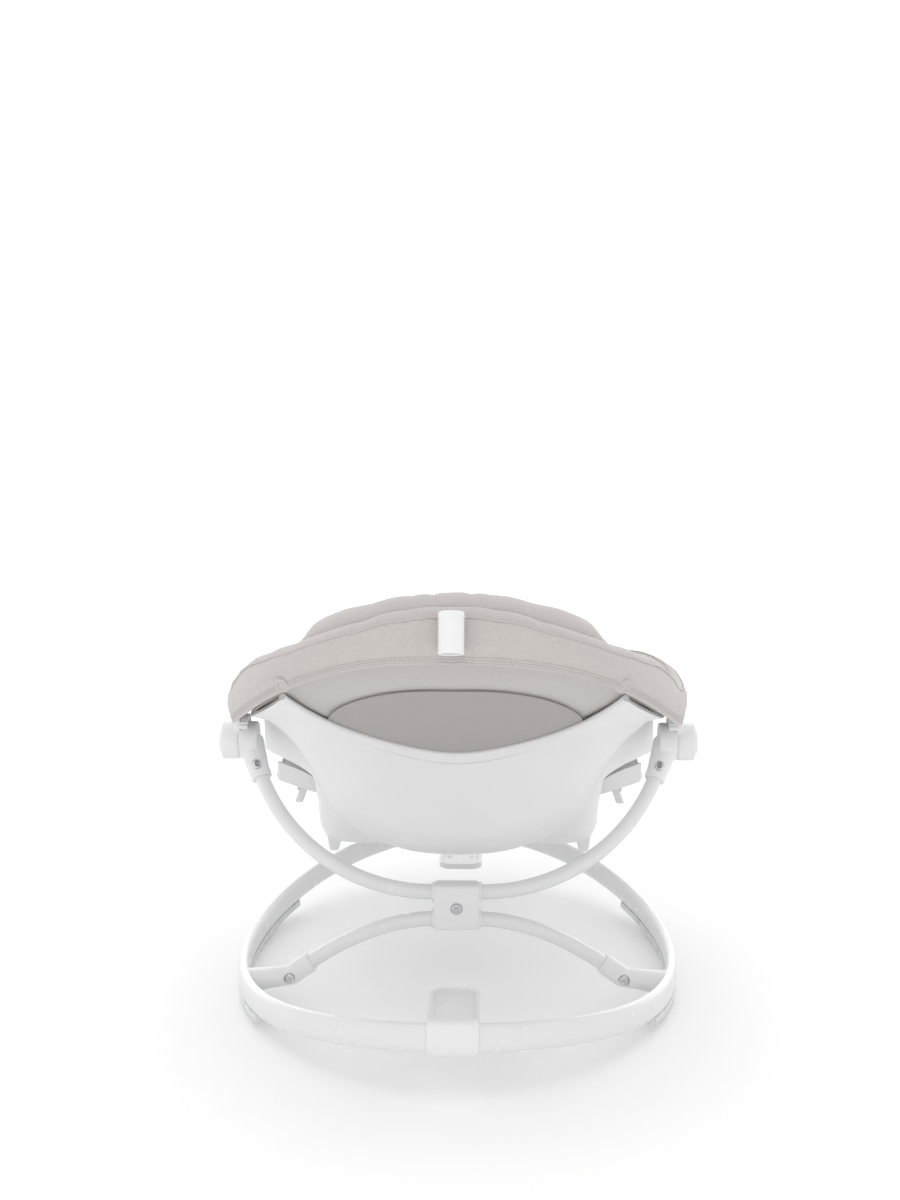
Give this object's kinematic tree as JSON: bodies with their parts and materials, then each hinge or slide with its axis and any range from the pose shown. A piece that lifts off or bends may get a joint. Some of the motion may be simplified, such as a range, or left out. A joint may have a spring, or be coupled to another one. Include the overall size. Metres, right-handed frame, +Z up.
{
  "type": "baby rocking seat",
  "caption": "Newborn rocking seat with a curved tube base, swaying yoke, reclining fabric seat, fold-down stands and waist harness.",
  "frame": {"origin": "centre of the footprint at floor level, parked on the flat middle of both skids", "axes": "+X to the right seen from the head end, +Y towards the foot end, +Z up; the recline axis runs along X"},
  "size_m": [0.465, 0.8062, 0.4258],
  "materials": {
    "rail_left": "satin white paint",
    "rail_right": "satin white paint",
    "rocker_skid_left": "matt grip strip",
    "rocker_skid_right": "matt grip strip",
    "head_sleeve": "satin white",
    "foot_sleeve": "satin white",
    "head_stand_pin": "plain steel",
    "foot_stand_pin": "plain steel",
    "arch_socket_left": "satin white",
    "arch_socket_right": "satin white",
    "socket_screw_left": "polished",
    "socket_screw_right": "polished",
    "arch_tube": "satin white paint",
    "head_stand": "satin white",
    "foot_stand": "satin white",
    "pivot_bracket": "satin white",
    "bracket_screw": "polished",
    "yoke_tube": "satin white paint",
    "hub_elbow_left": "satin white",
    "hub_elbow_right": "satin white",
    "hub_rivet_left": "polished",
    "hub_rivet_right": "polished",
    "hub_axle_left": "plain steel",
    "hub_axle_right": "plain steel",
    "seat_arm_left": "satin white",
    "seat_arm_right": "satin white",
    "hub_cap_left": "satin white",
    "hub_cap_right": "satin white",
    "rim_head": "satin white paint",
    "rim_foot": "satin white paint",
    "seat_shell": "satin white",
    "foot_panel": "satin white",
    "toy_bar_socket": "satin white",
    "snap_left": "melange weave",
    "snap_right": "melange weave",
    "sling_cover": "soft jersey",
    "cover_skirt": "melange weave",
    "seat_pad": "melange weave",
    "head_pillow": "soft jersey",
    "crotch_strap": "webbing",
    "waist_strap_left": "webbing",
    "waist_strap_right": "webbing",
    "buckle_body": "fine satin",
    "strap_tongue_left": "fine satin",
    "strap_tongue_right": "fine satin",
    "hub_button_left": "satin white",
    "hub_button_right": "satin white",
    "latch_lever_left": "satin white",
    "latch_lever_right": "satin white",
    "buckle_button": "satin white"
  },
  "bodies": {
    "base": {"rail_left": "rail_left", "rail_right": "rail_right", "rocker_skid_left": "rocker_skid_left", "rocker_skid_right": "rocker_skid_right", "head_sleeve": "head_sleeve", "foot_sleeve": "foot_sleeve", "head_stand_pin": "head_stand_pin", "foot_stand_pin": "foot_stand_pin", "arch_socket_left": "arch_socket_left", "arch_socket_right": "arch_socket_right", "socket_screw_left": "socket_screw_left", "socket_screw_right": "socket_screw_right", "arch_tube": "arch_tube"},
    "head_stand_leaf": {"head_stand": "head_stand"},
    "foot_stand_leaf": {"foot_stand": "foot_stand"},
    "yoke": {"pivot_bracket": "pivot_bracket", "bracket_screw": "bracket_screw", "yoke_tube": "yoke_tube", "hub_elbow_left": "hub_elbow_left", "hub_elbow_right": "hub_elbow_right", "hub_rivet_left": "hub_rivet_left", "hub_rivet_right": "hub_rivet_right", "hub_axle_left": "hub_axle_left", "hub_axle_right": "hub_axle_right"},
    "seat": {"seat_arm_left": "seat_arm_left", "seat_arm_right": "seat_arm_right", "hub_cap_left": "hub_cap_left", "hub_cap_right": "hub_cap_right", "rim_head": "rim_head", "rim_foot": "rim_foot", "seat_shell": "seat_shell", "foot_panel": "foot_panel", "toy_bar_socket": "toy_bar_socket", "snap_left": "snap_left", "snap_right": "snap_right", "sling_cover": "sling_cover", "cover_skirt": "cover_skirt", "seat_pad": "seat_pad", "head_pillow": "head_pillow", "crotch_strap": "crotch_strap", "waist_strap_left": "waist_strap_left", "waist_strap_right": "waist_strap_right", "buckle_body": "buckle_body", "strap_tongue_left": "strap_tongue_left", "strap_tongue_right": "strap_tongue_right"},
    "hub_button_left_unit": {"hub_button_left": "hub_button_left"},
    "hub_button_right_unit": {"hub_button_right": "hub_button_right"},
    "latch_lever_left_unit": {"latch_lever_left": "latch_lever_left"},
    "latch_lever_right_unit": {"latch_lever_right": "latch_lever_right"},
    "buckle_button_unit": {"buckle_button": "buckle_button"}
  },
  "joints": [
    {"name": "yoke_sway", "type": "hinge", "parent": "base", "child": "yoke", "pos_m": [0, -0.09, 0.0815], "axis": [1, 0, 0], "range_deg": [-4, 4], "stiffness_Nm_per_rad": 120, "springref_deg": 1.49},
    {"name": "seat_recline", "type": "hinge", "parent": "yoke", "child": "seat", "pos_m": [0, 0, 0.2325], "axis": [-1, 0, 0], "range_deg": [0, 16]},
    {"name": "head_stand_fold", "type": "hinge", "parent": "base", "child": "head_stand_leaf", "pos_m": [0, -0.3025, 0.048], "axis": [-1, 0, 0], "range_deg": [0, 22]},
    {"name": "foot_stand_fold", "type": "hinge", "parent": "base", "child": "foot_stand_leaf", "pos_m": [0, 0.3025, 0.048], "axis": [1, 0, 0], "range_deg": [0, 22]},
    {"name": "hub_button_left_press", "type": "slide", "parent": "seat", "child": "hub_button_left_unit", "axis": [1, 0, 0], "range_m": [0, 0.004], "stiffness_N_per_m": 300},
    {"name": "hub_button_right_press", "type": "slide", "parent": "seat", "child": "hub_button_right_unit", "axis": [-1, 0, 0], "range_m": [0, 0.004], "stiffness_N_per_m": 300},
    {"name": "latch_lever_left_swing", "type": "hinge", "parent": "seat", "child": "latch_lever_left_unit", "pos_m": [-0.16, 0.096, 0.1615], "axis": [1, 0, 0], "range_deg": [-18, 18], "stiffness_Nm_per_rad": 0.05},
    {"name": "latch_lever_right_swing", "type": "hinge", "parent": "seat", "child": "latch_lever_right_unit", "pos_m": [0.16, 0.096, 0.1615], "axis": [1, 0, 0], "range_deg": [-18, 18], "stiffness_Nm_per_rad": 0.05},
    {"name": "buckle_button_press", "type": "slide", "parent": "seat", "child": "buckle_button_unit", "axis": [0, 0, -1], "range_m": [0, 0.0028], "stiffness_N_per_m": 300}
  ]
}
